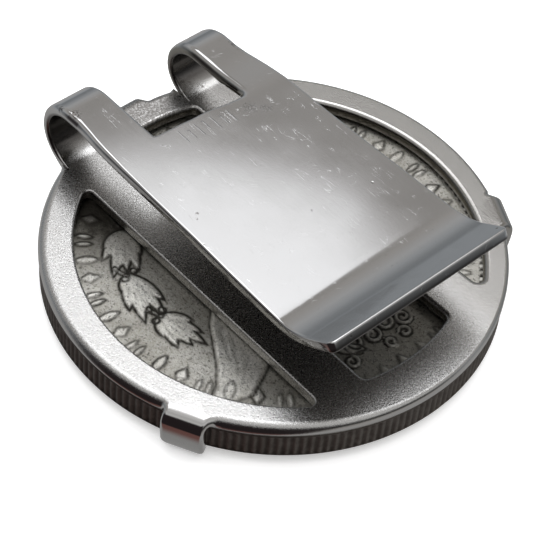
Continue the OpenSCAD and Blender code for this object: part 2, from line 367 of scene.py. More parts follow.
def fold(x, y, z):
    """Flat pattern, with z from the middle of the sheet, to the folded part in the coin's axis frame."""
    if is_leg(x, y):
        u, w = FOLD_X - x, -z
        if u < U_BEND:
            t = u / LOOP_M
            return FOLD_X - (LOOP_M + w) * math.sin(t), y, LOOP_Z - (LOOP_M + w) * math.cos(t)
        if u < U_LIP:
            return FOLD_X + u - U_BEND, y, TONGUE_M + w
        zc = TONGUE_M + LIP_M
        a = min(u - U_LIP, U_FLAT - U_LIP) / LIP_M
        d = max(0.0, u - U_FLAT)
        return LIP_X + (LIP_M - w) * math.sin(a) + d * math.cos(a), y, zc - (LIP_M - w) * math.cos(a) + d * math.sin(a)
    for angle in PRONGS:
        ca, sa = math.cos(d2r(angle)), math.sin(d2r(angle))
        s, t = x * ca + y * sa, -x * sa + y * ca
        if s > BEND_S and abs(t) < 3.0:
            q = s - BEND_S
            top = PLATE_M - FOLD_M
            if q < S1:
                a = q / FOLD_M
                s, zz = BEND_S + (FOLD_M + z) * math.sin(a), top + (FOLD_M + z) * math.cos(a)
            elif q < S1 + S2:
                s, zz = BEND_S + FOLD_M + z + prong_ease(q, z), top - (q - S1)
            elif q < 2 * S1 + S2:
                a = (q - S1 - S2) / FOLD_M
                s, zz = BEND_S + (FOLD_M + z) * math.cos(a) + prong_ease(q, z), FOLD_M + H - (FOLD_M + z) * math.sin(a)
            else:
                s, zz = BEND_S - (q - 2 * S1 - S2) + prong_ease(q, z), H - z
            return s * ca - t * sa, s * sa + t * ca, zz
    return x, y, PLATE_M + z


def settle(x, y, z):
    """The right loop was pressed a little lower than the left one."""
    def ss(a, b, v):
        t = max(0.0, min(1.0, (v - a) / (b - a)))
        return t * t * (3 - 2 * t)
    s = ss(-8.5, -14.5, x) * ss(0.5, 4.8, y) * ss(PLATE_M, TONGUE_M, z)
    # the tongue starts to rise a little before the lip, more so on its right side
    lead = 0.011 * (0.35 + 0.65 * ss(-6, 8, y)) * (0.5 * max(0.0, min(x, LIP_X) - 5.0) ** 2 / (LIP_X - 5.0) + max(0.0, x - LIP_X))
    if z < TONGUE_M - 1:
        lead = 0.0
    return x + 0.22 * s, y, z - 0.40 * s + lead


def build_clip():
    outer, holes = flat_pattern()
    bm = bmesh.new()
    wall = bm.verts.layers.float.new("wall")
    top_edges, low_edges = [], []
    # The cut walls of the windows, slot and rear gap are darkened brownish, most on their lower half beside the coin
    # and not at all on the outer edge: painted shade in these recesses, with a brown tint
    for grime_and_shade, contour in zip((0.0, 0.25, 0.85, 0.9, 0.75), [outer] + holes):
        levels = ring_levels(contour)
        rows = []
        for dist, zs in levels:
            pts = inset(contour, dist)
            rows.append([bm.verts.new((p[0], p[1], z)) for p, z in zip(pts, zs)])
            for v in rows[-1]:
                v[wall] = grime_and_shade * max(0.0, min(1.0, (0.30 - abs(v.co.z)) / 0.12 + (0.6 if v.co.z < 0 else 0.0))) if abs(v.co.z) < H - 1e-4 else 0.0
        n = len(contour)
        for a, b in zip(rows, rows[1:]):
            for i in range(n):
                j = (i + 1) % n
                quad = (a[i], b[i], b[j], a[j])
                bm.faces.new(quad)
        for i in range(n):
            j = (i + 1) % n
            top_edges.append(bm.edges.get((rows[0][i], rows[0][j])))
            low_edges.append(bm.edges.get((rows[-1][i], rows[-1][j])))
    # engraved marks: on the tongue's top, which is the flat pattern's underside
    floors = []
    for m in marks():
        if area([(x, y) for x, y in m]) > 0:
            m = m[::-1]
        rim_v = [bm.verts.new((x, y, -H)) for x, y in m]
        c = np.mean(np.array(m), axis=0)
        low_v = [bm.verts.new((c[0] + (x - c[0]) * 0.9, c[1] + (y - c[1]) * 0.72, -H + 0.07)) for x, y in m]
        k = len(m)
        for i in range(k):
            j = (i + 1) % k
            bm.faces.new((rim_v[i], low_v[i], low_v[j], rim_v[j]))
            low_edges.append(bm.edges.get((rim_v[i], rim_v[j])))
        bm.faces.new(low_v)
    for edges, up in ((top_edges, 1), (low_edges, -1)):
        bmesh.ops.triangle_fill(bm, use_beauty=True, use_dissolve=False, edges=edges, normal=(0, 0, up))
    bmesh.ops.recalc_face_normals(bm, faces=bm.faces[:])

    def cut(co, no, pick=None):
        if pick is None:
            geom = bm.verts[:] + bm.edges[:] + bm.faces[:]
        else:
            faces = [f for f in bm.faces if any(pick(v.co) for v in f.verts)]
            es = {e for f in faces for e in f.edges}
            vs = {v for f in faces for v in f.verts}
            geom = list(vs) + list(es) + faces
        bmesh.ops.bisect_plane(bm, geom=geom, dist=1e-5, plane_co=co, plane_no=no)

    for k in range(0, 41):
        cut((FOLD_X - U_BEND * k / 40, 0, 0), (1, 0, 0))
    for k in range(1, 12):
        cut((FOLD_X - u_of(-16.0 + 0.72 * k), 0, 0), (1, 0, 0))
    for y in (0.8, 1.7, 2.6, 3.4):
        cut((0, y, 0), (0, 1, 0), lambda v: FOLD_X - u_of(-7.5) < v.x < FOLD_X - u_of(-10.2))
    for k in range(9):
        cut((FOLD_X - u_of(5.0 + 0.52 * k), 0, 0), (1, 0, 0))
    for y in (-7.0, -5.0, -3.0, -1.0, 1.0, 3.0, 5.0, 7.0):
        cut((0, y, 0), (0, 1, 0), lambda v: v.x < FOLD_X - u_of(4.9))
    for k in range(0, 13):
        cut((FOLD_X - (U_LIP + (U_FLAT - U_LIP) * k / 12), 0, 0), (1, 0, 0))
    ss = [S1 * k / 10 for k in range(11)] + [S1 + S2 * k / 8 for k in range(1, 8)] + [S1 + S2 + S1 * k / 10 for k in range(11)]
    for angle in PRONGS:
        ca, sa = math.cos(d2r(angle)), math.sin(d2r(angle))

        def near(v, ca=ca, sa=sa):
            return v.x * ca + v.y * sa > BEND_S - 0.02 and abs(-v.x * sa + v.y * ca) < 3.0
        for s in ss:
            s += BEND_S
            cut((s * ca, s * sa, 0), (ca, sa, 0), near)
    inner = bm.verts.layers.float.new("inner")
    for v in bm.verts:
        # 1 on the inside of the loops and the tongue's underside, 0 elsewhere; the steel's colour is darkened there as
        # painted shade
        if is_leg(v.co.x, v.co.y):
            v[inner] = max(0.0, min(1.0, 0.5 + 0.62 * v.co.z / H)) * min(1.0, (FOLD_X - v.co.x) / 2.5)
        x, y, z = fold(v.co.x, v.co.y, v.co.z)
        if is_leg(v.co.x, v.co.y):
            x, y, z = settle(x, y, z)
        v.co = ((x + AXIS_X) * MM, y * MM, z * MM)
    bmesh.ops.dissolve_degenerate(bm, dist=1e-7, edges=bm.edges[:])
    big = [f for f in bm.faces if len(f.verts) > 4]
    bmesh.ops.triangulate(bm, faces=big)
    bmesh.ops.recalc_face_normals(bm, faces=bm.faces[:])
    me = bpy.data.meshes.new("clip_sheet")
    bm.to_mesh(me)
    bm.free()
    me.shade_smooth()
    me.set_sharp_from_angle(angle=d2r(38))
    ob = bpy.data.objects.new("clip_sheet", me)
    bpy.context.scene.collection.objects.link(ob)
    return ob


# ------------------------------------------------------------------------ coin

def seg_dist(P, a, b):
    a, b = np.array(a, float), np.array(b, float)
    d = b - a
    t = np.clip(((P - a) @ d) / (d @ d), 0, 1)
    return np.linalg.norm(P - a - t[:, None] * d, axis=1)


def leaf_sd(P, base, tip, width):
    """Signed distance, negative inside, to a pointed leaf."""
    base, tip = np.array(base, float), np.array(tip, float)
    d = tip - base
    l = np.linalg.norm(d); d /= l
    q = P - base
    x = q @ d - l / 2
    y = np.abs(q @ np.array([-d[1], d[0]]))
    R = (l * l + width * width) / (4 * width)
    return np.hypot(x, y + R - width / 2) - R


def poly_sd(P, pts):
    pts = [np.array(p, float) for p in pts]
    d = np.full(len(P), 1e9)
    inside = np.zeros(len(P), bool)
    for i in range(len(pts)):
        a, b = pts[i], pts[(i + 1) % len(pts)]
        d = np.minimum(d, seg_dist(P, a, b))
        c = (a[1] > P[:, 1]) != (b[1] > P[:, 1])
        with np.errstate(divide="ignore", invalid="ignore"):
            xi = (b[0] - a[0]) * (P[:, 1] - a[1]) / (b[1] - a[1] if b[1] != a[1] else 1e-9) + a[0]
        inside ^= c & (P[:, 0] < xi)
    return np.where(inside, -d, d)


def sstep(e0, e1, x):
    t = np.clip((x - e0) / (e1 - e0), 0, 1)
    return t * t * (3 - 2 * t)


class Relief:
    """Height above the field, 0 to 0.15 mm, and dirt in the corners beside raised edges."""
    def __init__(self, P):
        self.P = P
        self.h = np.zeros(len(P))
        self.dirt = np.zeros(len(P))

    def add(self, sd, height, soft=0.14, dirt=1.0, reach=0.13, crown=0.0):
        h = height * sstep(0.04, -soft, sd)
        if crown:
            h = h * (1 - crown + crown * sstep(0, -0.7, sd))
        self.h = np.maximum(self.h, h)
        self.dirt = np.maximum(self.dirt, dirt * np.exp(-((sd - 0.05) / reach) ** 2))

    def groove(self, sd, depth, width, dirt=1.0):
        g = np.exp(-(sd / width) ** 2)
        self.h = self.h - depth * g
        self.dirt = np.maximum(self.dirt, dirt * g)


def border_marks(R, seed):
    """A ring of plain generic marks: leaves, lozenges and beads, unevenly worn."""
    P = R.P
    rng = np.random.RandomState(seed)
    n = 46
    for k in range(n):
        a = 2 * math.pi * (k + 0.25 * rng.rand()) / n
        c, s = math.cos(a), math.sin(a)
        near = np.hypot(P[:, 0] - 15.2 * c, P[:, 1] - 15.2 * s) < 1.9
        if not near.any():
            continue
        Q = P[near]
        x = Q[:, 0] * c + Q[:, 1] * s - 15.25
        y = -Q[:, 0] * s + Q[:, 1] * c
        kind = (k * 5 + k // 3) % 4
        if kind == 0:      # leaf standing on the rim
            sd = np.hypot(x, np.abs(y) + 1.1) - 1.46
            sd = np.maximum(sd, np.abs(x) - 0.95)
        elif kind == 1:    # lozenge
            sd = (np.abs(x) / 0.85 + np.abs(y) / 0.5 - 1) * 0.42
        elif kind == 2:    # two leaves side by side
            q = np.abs(y) - 0.42
            sd = np.hypot(x - 0.5 * np.abs(y), np.abs(q) + 0.95) - 1.17
        else:              # three beads
            sd = np.minimum(np.hypot(x, y) - 0.34, np.minimum(np.hypot(x - 0.68, y) - 0.24, np.hypot(x + 0.68, y) - 0.24))
        worn = 0.55 + 0.45 * math.sin(k * 1.7 + seed)
        h = (0.09 + 0.04 * worn) * sstep(0.06, -0.13, sd)
        R.h[near] = np.maximum(R.h[near], h)
        R.dirt[near] = np.maximum(R.dirt[near], (0.34 + 0.40 * worn) * np.exp(-((sd - 0.05) / 0.12) ** 2))


def cluster(R, base, tips, width, body, height=0.14):
    middle = np.array(base) + (np.mean(np.array(tips), axis=0) - np.array(base)) * 1.12
    sd = leaf_sd(R.P, base, middle, body)
    for t in tips:
        sd = np.minimum(sd, leaf_sd(R.P, base, t, width))
    R.add(sd, height, soft=0.12, crown=0.3, reach=0.12)
    base = np.array(base, float)
    for t in tips[1:-1]:
        R.groove(seg_dist(R.P, base * 0.6 + np.array(t) * 0.4, base * 0.22 + np.array(t) * 0.78), 0.02, 0.08, 0.16)


def front_relief(P):
    R = Relief(P)
    border_marks(R, 3)
    # wide drape with a soft edge and one straight crease, to the right of the left window
    edge = [(1.2, -7.6), (2.9, -9.33), (4.6, -10.4), (6.3, -11.5), (7.9, -12.9), (8.6, -14.2), (9.6, -13.6), (10.3, -10.97), (8.98, -8.58), (8.4, -7.2), (4.8, -6.0)]
    R.add(poly_sd(P, edge), 0.13, soft=0.3, dirt=0.75, reach=0.10)
    R.groove(seg_dist(P, (8.85, -8.2), (10.35, -11.25)), 0.05, 0.10, 1.0)
    for a, b in (((4.3, -9.2), (6.6, -10.4)), ((5.2, -8.9), (7.8, -10.6)), ((3.2, -8.6), (4.6, -9.4)), ((7.2, -9.0), (8.8, -10.9))):
        R.groove(seg_dist(P, a, b), 0.015, 0.16, 0.22)
    # three leaf clusters along a stem
    cluster(R, (-9.1, -8.35), [(-8.5, -10.9), (-7.6, -11.7), (-6.8, -11.2), (-5.7, -12.1), (-5.5, -10.9), (-5.0, -10.1), (-6.2, -8.9)], 1.05, 1.9)
    cluster(R, (-5.2, -11.05), [(-3.7, -12.6), (-2.6, -12.7), (-2.2, -13.3), (-0.5, -13.1), (-0.9, -12.2), (-0.2, -11.4), (-1.4, -10.5)], 1.05, 1.9)
    cluster(R, (-0.3, -11.8), [(1.6, -12.9), (2.5, -12.5), (3.0, -12.7), (3.5, -11.7), (4.1, -10.8), (3.0, -10.3), (1.7, -10.1)], 1.0, 1.8)
    for b in ((-4.85, -11.62), (-5.15, -10.5), (0.0, -12.4), (-0.55, -11.3), (-9.75, -8.5)):
        R.add(np.hypot(P[:, 0] - b[0], P[:, 1] - b[1]) - 0.24, 0.14, crown=0.3)
    for a, b in (((-12.4, -8.2), (-9.6, -8.5)), ((-6.2, -11.6), (-5.0, -11.3)), ((-1.3, -12.1), (-0.1, -11.8))):
        R.add(seg_dist(P, a, b) - 0.12, 0.10)
    # scrolls seen through the slot beyond the lip, and on the far side
    for cx, cy, r, a0 in ((11.3, -1.6, 0.95, 0), (11.6, 0.1, 0.7, 2.0), (11.2, 1.7, 0.9, 4.0), (11.7, 3.3, 0.75, 1.0), (9.8, 2.6, 0.8, 3.0), (9.7, -0.6, 0.8, 5.0),
                          (12.6, -3.0, 0.6, 2.5), (13.0, 0.8, 0.5, 0.3), (12.9, 2.4, 0.55, 4.4)):
        x, y = P[:, 0] - cx, P[:, 1] - cy
        rr, aa = np.hypot(x, y), (np.arctan2(y, x) - a0) % (2 * math.pi)
        sd = np.abs(rr - r * (0.45 + 0.55 * aa / (2 * math.pi))) - 0.17
        R.add(np.where(rr < r * 1.3, sd, 1.0), 0.14, dirt=1.0)
    for k in range(16):
        a = d2r(95 + 22.5 * k)
        if 190 < (95 + 22.5 * k) % 360 < 330 or (95 + 22.5 * k) % 360 < 20:
            continue
        b = np.array([11.2 * math.cos(a), 11.2 * math.sin(a)])
        for da in (-0.35, 0.45):
            t = b + 2.6 * np.array([math.cos(a + 1.57 + da), math.sin(a + 1.57 + da)])
            R.add(leaf_sd(P, b, t, 0.95), 0.13, crown=0.3)
    star(R, 4.6)
    return R


def star(R, r):
    pts = [((r if i % 2 == 0 else r * 0.42) * math.cos(d2r(36 * i)), (r if i % 2 == 0 else r * 0.42) * math.sin(d2r(36 * i))) for i in range(10)]
    R.add(poly_sd(R.P, pts), 0.14, soft=0.5, dirt=0.9)
    for i in range(5):
        R.groove(seg_dist(R.P, (0, 0), pts[2 * i]), 0.015, 0.12, 0.15)


def back_relief(P):
    R = Relief(P)
    border_marks(R, 8)
    for i in range(16):
        a = d2r(i * 22.5)
        b = np.array([11.3 * math.cos(a), 11.3 * math.sin(a)])
        for turn, l, w in ((0.55, 3.9, 1.35), (1.57, 3.4, 1.2), (2.55, 3.3, 1.2)):
            t = b + l * np.array([math.cos(a + turn), math.sin(a + turn)])
            R.add(leaf_sd(P, b, t, w), 0.13, crown=0.35)
            R.groove(seg_dist(P, b, b * 0.3 + t * 0.7), 0.02, 0.07, 0.25)
        c = b + 1.5 * np.array([math.cos(a + 3.4), math.sin(a + 3.4)])
        R.add(np.hypot(P[:, 0] - c[0], P[:, 1] - c[1]) - 0.3, 0.13, crown=0.3)
    rr = np.hypot(P[:, 0], P[:, 1])
    R.add(np.abs(rr - 8.6) - 0.13, 0.09, dirt=0.6)
    star(R, 6.4)
    return R


def build_coin():
    cols = 752
    ang_ = np.arange(cols) * 2 * math.pi / cols
    ca, sa = np.cos(ang_), np.sin(ang_)
    rim_in, bevel = COIN_R - 1.15, 0.16
    verts, dirt, rings = [], [], []

    def face_rings(sign, relief_fn, radii):
        """Rings from the rim inwards, on one face."""
        rr = np.repeat(radii, cols); a_c, a_s = np.tile(ca, len(radii)), np.tile(sa, len(radii))
        P = np.stack([rr * a_c, rr * a_s], 1)
        R = relief_fn(P)
        field = -0.2 + R.h
        # small teeth inside the rim
        theta = np.tile(ang_, len(radii))
        teeth = 0.5 + 0.5 * np.cos(theta * 150)
        band = sstep(16.75, 16.95, rr) * (1 - sstep(rim_in - 0.12, rim_in, rr))
        field = np.maximum(field, -0.2 + 0.13 * band * sstep(0.25, 0.7, teeth))
        d = np.maximum(R.dirt, 0.8 * band * (1 - sstep(0.2, 0.6, teeth)))
        up = sstep(rim_in - 0.16, rim_in + 0.04, rr)
        z = field * (1 - up)
        d = np.maximum(d * (1 - up), 0.8 * np.exp(-((rr - (rim_in - 0.2)) / 0.14) ** 2))
        base = COIN_Z1 if sign > 0 else COIN_Z0
        raised = np.maximum(np.clip((field + 0.2) / 0.12, 0, 1), up)
        return P, base + sign * z, d, raised

    radii_top = np.concatenate([[COIN_R - bevel, COIN_R - 0.5, COIN_R - 0.9, rim_in + 0.06], np.linspace(rim_in, 7.2, 96), np.linspace(7.05, 0.25, 40)])
    radii_low = np.concatenate([[COIN_R - bevel, COIN_R - 0.5, COIN_R - 0.9, rim_in + 0.06], np.linspace(rim_in, 0.3, 110)])
    Pt, zt, dt, ht = face_rings(1, front_relief, radii_top)
    Pb, zb, db, hb = face_rings(-1, back_relief, radii_low)

    # reeded edge: rows from the top bevel to the lower one
    reed = 0.5 + 0.5 * np.cos(ang_ * cols / 4)
    edge_z = [COIN_Z1 - bevel * 0.35, COIN_Z1 - bevel, COIN_Z1 - bevel - 0.08] + list(np.linspace(COIN_Z1 - 0.4, COIN_Z0 + 0.4, 4)) + [COIN_Z0 + bevel + 0.08, COIN_Z0 + bevel, COIN_Z0 + bevel * 0.35]
    edge_r = [COIN_R - bevel * 0.35, COIN_R, COIN_R] + [COIN_R] * 4 + [COIN_R, COIN_R, COIN_R - bevel * 0.35]
    depth = [0, 0, 0.13] + [0.15] * 4 + [0.13, 0, 0]
    Pe, ze, de = [], [], []
    for z, r, g in zip(edge_z, edge_r, depth):
        rad = r - g * (1 - reed)
        Pe.append(np.stack([rad * ca, rad * sa], 1)); ze.append(np.full(cols, z)); de.append((1 - reed) * (1.0 if g else 0.15))
    n_top, n_low, n_edge = len(radii_top), len(radii_low), len(edge_z)
    # order: top centre ... top rim, edge rows, low rim ... low centre
    Pt, zt, dt = Pt.reshape(n_top, cols, 2)[::-1], zt.reshape(n_top, cols)[::-1], dt.reshape(n_top, cols)[::-1]
    Pb, zb, db = Pb.reshape(n_low, cols, 2), zb.reshape(n_low, cols), db.reshape(n_low, cols)
    P = np.concatenate([Pt, np.array(Pe), Pb]); z = np.concatenate([zt, np.array(ze), zb]); d = np.concatenate([dt, np.array(de), db])
    high = np.concatenate([ht.reshape(n_top, cols)[::-1], np.ones((n_edge, cols)), hb.reshape(n_low, cols)])
    edge_tag = np.zeros(z.shape); edge_tag[n_top:n_top + n_edge] = 1.0
    rows = len(z)
    co = np.concatenate([P, z[..., None]], 2).reshape(-1, 3)
    co[:, 0] += AXIS_X
    idx = np.arange(rows * cols).reshape(rows, cols)
    a, b = idx[:-1], idx[1:]
    quads = np.stack([a, b, np.roll(b, -1, 1), np.roll(a, -1, 1)], 2).reshape(-1, 4)
    c_top, c_low = len(co), len(co) + 1
    co = np.vstack([co, [AXIS_X, 0, z[0].mean()], [AXIS_X, 0, z[-1].mean()]])
    fan_t = np.stack([np.full(cols, c_top), idx[0], np.roll(idx[0], -1)], 1)
    fan_b = np.stack([np.full(cols, c_low), np.roll(idx[-1], -1), idx[-1]], 1)
    me = bpy.data.meshes.new("coin_disc")
    me.from_pydata((co * MM).tolist(), [], quads.tolist() + fan_t.tolist() + fan_b.tolist())
    att = me.attributes.new("dirt", "FLOAT", "POINT")
    att.data.foreach_set("value", np.append(d.reshape(-1), [0, 0]).astype(np.float32))
    att = me.attributes.new("reeds", "FLOAT", "POINT")
    att.data.foreach_set("value", np.append(edge_tag.reshape(-1), [0, 0]).astype(np.float32))
    att = me.attributes.new("raised", "FLOAT", "POINT")
    att.data.foreach_set("value", np.append(high.reshape(-1), [1, 1]).astype(np.float32))
    me.validate()
    me.shade_smooth()
    ob = bpy.data.objects.new("coin_disc", me)
    bpy.context.scene.collection.objects.link(ob)
    return ob


# ------------------------------------------------------------------- materials

class Nodes:
    def __init__(self, tree):
        self.t = tree
        self.t.nodes.clear()

    def add(self, kind, inputs=None, **props):
        n = self.t.nodes.new(kind)
        for k, v in props.items():
            setattr(n, k, v)
        for k, v in (inputs or {}).items():
            self.put(n.inputs[k], v)
        return n

    def put(self, socket, v):
        if isinstance(v, bpy.types.NodeSocket):
            self.t.links.new(v, socket)
        elif isinstance(v, bpy.types.Node):
            self.t.links.new(v.outputs[0], socket)
        else:
            socket.default_value = v

    def math(self, op, a, b=0.0, c=None, clamp=False):
        n = self.add("ShaderNodeMath", operation=op, use_clamp=clamp)
        self.put(n.inputs[0], a); self.put(n.inputs[1], b)
        if c is not None:
            self.put(n.inputs[2], c)
        return n.outputs[0]

    def remap(self, v, a, b, c=0.0, d=1.0, smooth=True):
        n = self.add("ShaderNodeMapRange", interpolation_type="SMOOTHSTEP" if smooth else "LINEAR")
        self.put(n.inputs["Value"], v)
        for k, x in (("From Min", a), ("From Max", b), ("To Min", c), ("To Max", d)):
            self.put(n.inputs[k], x)
        return n.outputs["Result"]

    def vmath(self, op, a, b=None):
        n = self.add("ShaderNodeVectorMath", operation=op)
        self.put(n.inputs[0], a)
        if b is not None:
            self.put(n.inputs[1], b)
        return n.outputs["Value"] if op in ("DOT_PRODUCT", "LENGTH", "DISTANCE") else n.outputs["Vector"]

    def mix(self, f, a, b):
        n = self.add("ShaderNodeMix", data_type="RGBA")
        self.put(n.inputs[0], f)
        self.put(n.inputs[6], a if not isinstance(a, tuple) else (*a, 1.0) if len(a) == 3 else a)
        self.put(n.inputs[7], b if not isinstance(b, tuple) else (*b, 1.0) if len(b) == 3 else b)
        return n.outputs[2]

    def noise(self, vec, scale, detail=2.0, rough=0.5, distortion=0.0):
        n = self.add("ShaderNodeTexNoise", {"Scale": scale, "Detail": detail, "Roughness": rough, "Distortion": distortion})
        self.put(n.inputs["Vector"], vec)
        return n.outputs["Fac"] if "Fac" in n.outputs else n.outputs[0]


def steel_material():
    mat = bpy.data.materials.new("clip_steel")
    mat.use_nodes = True
    N = Nodes(mat.node_tree)
    out = N.add("ShaderNodeOutputMaterial")
    sh = N.add("ShaderNodeBsdfPrincipled", {"Metallic": 1.0})
    N.put(out.inputs["Surface"], sh.outputs[0])
    tc = N.add("ShaderNodeTexCoord")
    mm = N.vmath("MULTIPLY", tc.outputs["Object"], (1000.0, 1000.0, 1000.0))
    xyz = N.add("ShaderNodeSeparateXYZ", {"Vector": mm})
    z = xyz.outputs["Z"]
    on_tongue = N.remap(z, 8.4, 10.2)
    on_loop = N.remap(z, 4.7, 5.8)
    far = N.remap(N.vmath("DOT_PRODUCT", mm, (0.0, 1.0, 0.0)), 3.5, 10.5)  # the less worn half of the ring, smoother and less rough; its colour is also darkened there as painted shade
    wall = N.add("ShaderNodeAttribute", attribute_name="wall").outputs["Fac"]
    rho = N.vmath("LENGTH", N.vmath("MULTIPLY", N.vmath("ADD", mm, (-AXIS_X, 0.0, 0.0)), (1.0, 1.0, 0.0)))
    low = N.math("MULTIPLY", N.math("MAXIMUM", N.remap(z, 3.6, 2.9), N.remap(rho, 18.75, 19.25)), N.remap(z, 5.2, 4.7))
    # fine blasted grain of the ring, hairline scratches of the tongue
    grain = N.noise(mm, 5.0, 4.0, 0.7)
    fine = N.noise(mm, 14.0, 2.0, 0.6)
    cloud = N.noise(mm, 0.22, 3.0, 0.55)
    st1 = N.noise(N.vmath("MULTIPLY", mm, (0.25, 5.5, 1.0)), 1.0, 3.0, 0.6, 0.3)
    s_a = N.noise(mm, 0.38, 2.0, 0.4, 0.6)
    line_a = N.remap(N.math("ABSOLUTE", N.math("SUBTRACT", s_a, 0.5)), 0.0, 0.0009, 1.0, 0.0)  # thin level lines of a noise field
    s_b = N.noise(N.vmath("ADD", mm, (31.0, 7.0, 3.0)), 0.55, 1.0, 0.4, 0.4)
    line_b = N.remap(N.math("ABSOLUTE", N.math("SUBTRACT", s_b, 0.47)), 0.0, 0.0012, 1.0, 0.0)
    s_c = N.noise(N.vmath("MULTIPLY", N.vmath("ADD", mm, (3.0, 17.0, 0.0)), (0.10, 1.6, 1.0)), 1.0, 1.0, 0.3, 0.2)
    line_c = N.remap(N.math("ABSOLUTE", N.math("SUBTRACT", s_c, 0.52)), 0.0, 0.003, 1.0, 0.0)
    broken = N.remap(N.noise(mm, 0.9, 2.0, 0.6), 0.54, 0.66)
    lines = N.math("MULTIPLY", N.math("MAXIMUM", N.math("MAXIMUM", line_a, line_b), line_c), N.math("MULTIPLY", broken, 0.55))
    # dark spots: random pits, a few brown stains near the folds, and a patch of painted shade on the rear ring between
    # the loops
    vor = N.add("ShaderNodeTexVoronoi", {"Scale": 0.55, "Randomness": 1.0}, feature="F1")
    N.put(vor.inputs["Vector"], N.vmath("ADD", mm, (5.3, 2.1, 0.4)))
    pits = N.math("MULTIPLY", N.remap(vor.outputs["Distance"], 0.035, 0.075, 1.0, 0.0), N.remap(N.noise(mm, 0.8, 1.0), 0.50, 0.60))
    stain_and_shade = None
    for (px, py, pz), r, k in STAINS_AND_SHADE:
        q = N.math("ADD", N.vmath("DISTANCE", mm, (px, py, pz)), N.math("MULTIPLY", N.math("SUBTRACT", N.noise(mm, 2.6, 3.0, 0.7), 0.5), r * 2.2))
        v = N.remap(q, r * 0.3, r, k, 0.0)
        stain_and_shade = v if stain_and_shade is None else N.math("MAXIMUM", stain_and_shade, v)
    stain_and_shade = N.math("MULTIPLY", stain_and_shade, N.remap(N.noise(mm, 5.5, 3.0, 0.75), 0.40, 0.54))
    # colour
    c = N.mix(on_tongue, (0.600, 0.590, 0.575), (0.640, 0.636, 0.632))
    c = N.mix(N.math("MULTIPLY", cloud, 0.16), c, (0.50, 0.48, 0.45))
    # painted shade: the far half of the ring is darkened, except on the loops
    c = N.mix(N.math("MULTIPLY", N.math("MULTIPLY", far, 0.60), N.math("SUBTRACT", 1.0, on_loop)), c, (0.34, 0.325, 0.30))
    c = N.mix(N.math("MULTIPLY", N.remap(grain, 0.35, 0.30), 0.35), c, (0.22, 0.20, 0.18))
    c = N.mix(N.math("MULTIPLY", pits, 0.75), c, (0.16, 0.14, 0.12))
    inner = N.add("ShaderNodeAttribute", attribute_name="inner").outputs["Fac"]
    # painted shade: the inside of the loops and the tongue's underside are darkened
    c = N.mix(N.math("MULTIPLY", N.remap(inner, 0.55, 0.95), 0.86), c, (0.115, 0.105, 0.098))
    # painted shade with a brown tint on the walls of the holes
    c = N.mix(N.math("MULTIPLY", wall, N.remap(grain, 0.25, 0.7, 1.0, 0.85)), c, (0.15, 0.135, 0.098))
    # brown stains, and painted shade on the rear ring between the loops
    c = N.mix(stain_and_shade, c, (0.075, 0.06, 0.048))
    c = N.mix(N.math("MULTIPLY", lines, N.math("MULTIPLY", on_tongue, 0.16)), c, (0.95, 0.95, 0.95))
    N.put(sh.inputs["Base Color"], c)
    # roughness
    r_ring = N.math("SUBTRACT", N.remap(grain, 0.3, 0.7, 0.21, 0.33, smooth=False), N.math("MULTIPLY", far, 0.06))
    r_loop = N.remap(cloud, 0.3, 0.7, 0.20, 0.28, smooth=False)
    r_tongue = N.math("ADD", N.remap(cloud, 0.3, 0.7, 0.055, 0.09, smooth=False), N.math("MULTIPLY", st1, 0.03))
    r = N.math("ADD", N.math("MULTIPLY", r_ring, N.math("SUBTRACT", 1.0, on_loop)), N.math("MULTIPLY", r_loop, on_loop))
    r = N.math("ADD", N.math("MULTIPLY", r, N.math("SUBTRACT", 1.0, on_tongue)), N.math("MULTIPLY", r_tongue, on_tongue))
    r = N.math("ADD", N.math("MULTIPLY", r, N.math("SUBTRACT", 1.0, low)), N.math("MULTIPLY", 0.12, low))
    r = N.math("ADD", r, N.math("MULTIPLY", N.math("MAXIMUM", lines, stain_and_shade), 0.15), clamp=True)
    N.put(sh.inputs["Roughness"], r)
    # height
    flat_share = N.math("SUBTRACT", 1.0, N.math("MAXIMUM", N.math("MULTIPLY", on_loop, 0.72), N.math("MAXIMUM", low, N.math("MULTIPLY", on_tongue, 0.985))))
    rear = N.math("MULTIPLY", N.remap(xyz.outputs["X"], -9.0, -12.5), 0.62)
    calm = N.math("MAXIMUM", N.math("MAXIMUM", N.math("MULTIPLY", far, 0.55), N.math("MULTIPLY", wall, 0.7)), N.math("MAXIMUM", rear, N.math("MULTIPLY", N.remap(inner, 0.55, 0.95), 0.75)))
    flat_share = N.math("MULTIPLY", flat_share, N.math("SUBTRACT", 1.0, calm))
    h = N.math("MULTIPLY", N.math("ADD", N.math("MULTIPLY", grain, 0.6), N.math("MULTIPLY", fine, 0.4)), flat_share)
    h = N.math("SUBTRACT", h, N.math("MULTIPLY", lines, N.math("MULTIPLY", on_tongue, 0.09)))
    h = N.math("SUBTRACT", h, N.math("MULTIPLY", pits, 0.25))
    bump = N.add("ShaderNodeBump", {"Strength": 1.0, "Distance": 0.000036, "Height": h})
    N.put(sh.inputs["Normal"], bump.outputs[0])
    return mat


